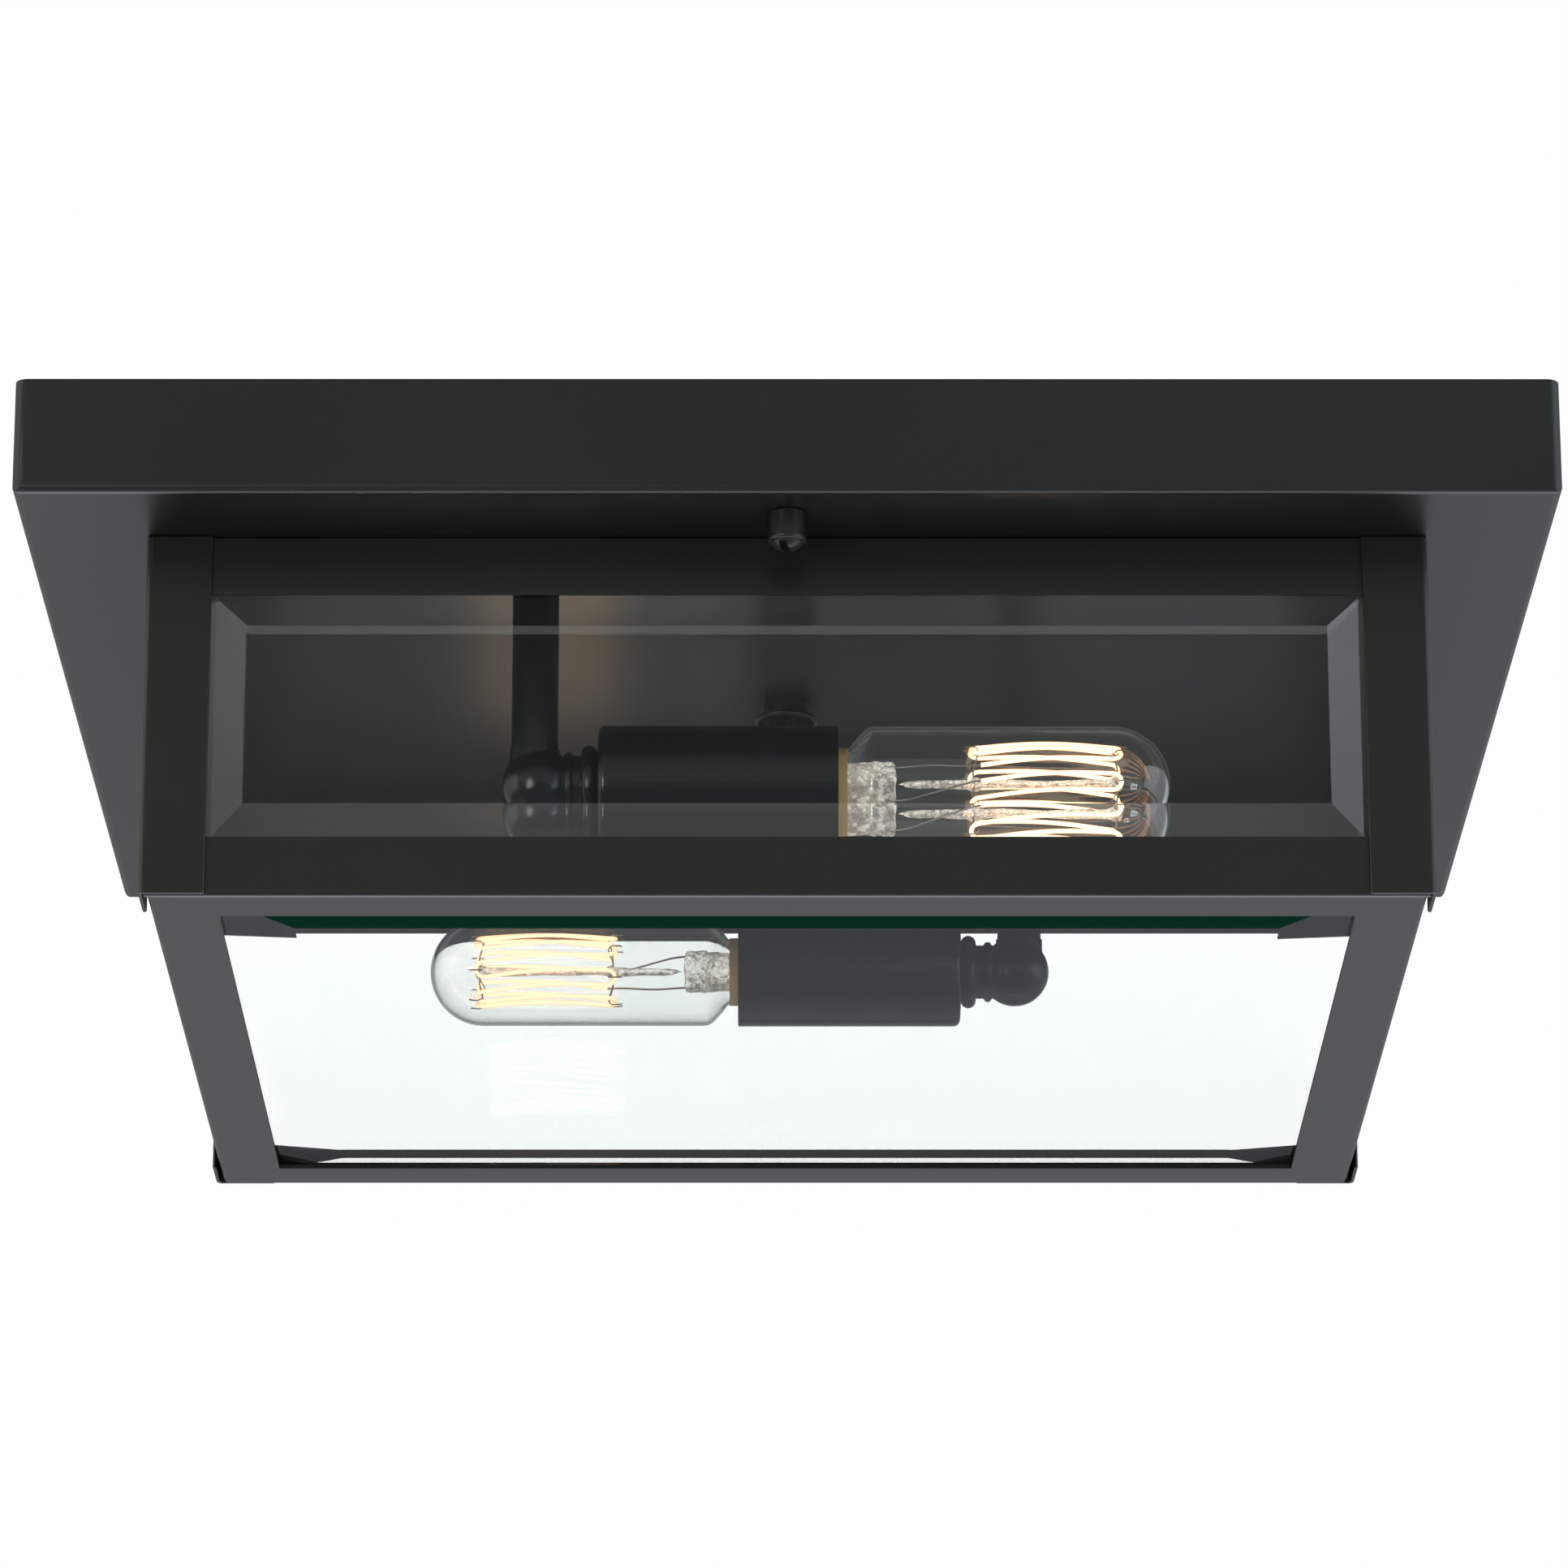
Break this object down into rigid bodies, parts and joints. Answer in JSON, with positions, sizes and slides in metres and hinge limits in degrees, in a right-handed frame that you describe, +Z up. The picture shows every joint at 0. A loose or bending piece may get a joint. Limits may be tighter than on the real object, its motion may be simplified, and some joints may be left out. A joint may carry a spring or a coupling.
{
  "type": "outdoor flush mount light",
  "caption": "Rectangular flush ceiling lantern with bevelled clear glass panes, a folded metal canopy and horizontal lampholders with tubular filament bulbs.",
  "frame": {"origin": "centre of the crossbar's top face, on the ceiling", "axes": "+X to the right along the long side, -Y to the front, +Z up into the ceiling"},
  "size_m": [0.406, 0.356, 0.132],
  "materials": {
    "bronze_paint": "satin dark bronze powder coat",
    "lampholder_paint": "satin charcoal paint",
    "zinc_steel": "zinc plated",
    "ground_green": "green dyed plating",
    "foam": "closed-cell foam",
    "phenolic": "moulded insulator",
    "brass": "bright drawn brass",
    "black_insulator": "black glassy insulator",
    "bulb_glass": "clear thin glass",
    "solder": "solder",
    "cement": "amber basing cement",
    "support_wire": "nickel wire",
    "filament": "glowing wire",
    "pane_glass": "clear bevelled plate glass with a green edge",
    "sealant": "clear sealant"
  },
  "bodies": {
    "ceiling_mount": {"crossbar": "zinc_steel", "ground_screw": "ground_green", "centre_nipple": "zinc_steel", "nipple_lock_nut": "zinc_steel", "centre_cap_nut": "bronze_paint", "ceiling_plate": "bronze_paint", "ceiling_gasket": "foam", "canopy_studs": "zinc_steel", "stem_front": "lampholder_paint", "elbow_front": "lampholder_paint", "stem_nut_front": "zinc_steel", "socket_cup_front": "lampholder_paint", "socket_body_front": "phenolic", "screw_shell_front": "brass", "centre_contact_front": "brass", "stem_rear": "lampholder_paint", "elbow_rear": "lampholder_paint", "stem_nut_rear": "zinc_steel", "socket_cup_rear": "lampholder_paint", "socket_body_rear": "phenolic", "screw_shell_rear": "brass", "centre_contact_rear": "brass"},
    "bulb_front": {"bulb_glass_front": "bulb_glass", "bulb_base_front": "brass", "bulb_base_insulator_front": "black_insulator", "bulb_tip_contact_front": "solder", "bulb_cement_front": "cement", "bulb_press_front": "bulb_glass", "bulb_supports_front": "support_wire", "bulb_filament_front": "filament"},
    "bulb_rear": {"bulb_glass_rear": "bulb_glass", "bulb_base_rear": "brass", "bulb_base_insulator_rear": "black_insulator", "bulb_tip_contact_rear": "solder", "bulb_cement_rear": "cement", "bulb_press_rear": "bulb_glass", "bulb_supports_rear": "support_wire", "bulb_filament_rear": "filament"},
    "lantern": {"canopy_shell": "bronze_paint", "post_front_left": "bronze_paint", "post_front_right": "bronze_paint", "post_rear_left": "bronze_paint", "post_rear_right": "bronze_paint", "top_rail_front": "bronze_paint", "top_rail_rear": "bronze_paint", "top_rail_left": "bronze_paint", "top_rail_right": "bronze_paint", "bottom_rail_front": "bronze_paint", "bottom_rail_rear": "bronze_paint", "bottom_rail_left": "bronze_paint", "bottom_rail_right": "bronze_paint", "pane_front": "pane_glass", "pane_rear": "pane_glass", "pane_left": "pane_glass", "pane_right": "pane_glass", "pane_bottom": "pane_glass", "corner_sealant": "sealant"},
    "thumb_nut_front": {"thumb_nut_front": "bronze_paint"},
    "thumb_nut_rear": {"thumb_nut_rear": "bronze_paint"}
  },
  "joints": [
    {"name": "bulb_front_screw", "type": "hinge", "parent": "ceiling_mount", "child": "bulb_front", "pos_m": [0, -0.0835, -0.082], "axis": [1, 0, 0], "range_deg": [0, 1116]},
    {"name": "bulb_rear_screw", "type": "hinge", "parent": "ceiling_mount", "child": "bulb_rear", "pos_m": [0, 0.0835, -0.078], "axis": [-1, 0, 0], "range_deg": [0, 1116]},
    {"name": "lantern_drop", "type": "slide", "parent": "ceiling_mount", "child": "lantern", "axis": [0, 0, -1], "range_m": [0, 0.12]},
    {"name": "thumb_nut_front_screw", "type": "hinge", "parent": "lantern", "child": "thumb_nut_front", "pos_m": [0, -0.1615, -0.036], "axis": [0, 0, -1], "range_deg": [0, 3420]},
    {"name": "thumb_nut_rear_screw", "type": "hinge", "parent": "lantern", "child": "thumb_nut_rear", "pos_m": [0, 0.1615, -0.036], "axis": [0, 0, -1], "range_deg": [0, 3420]}
  ]
}
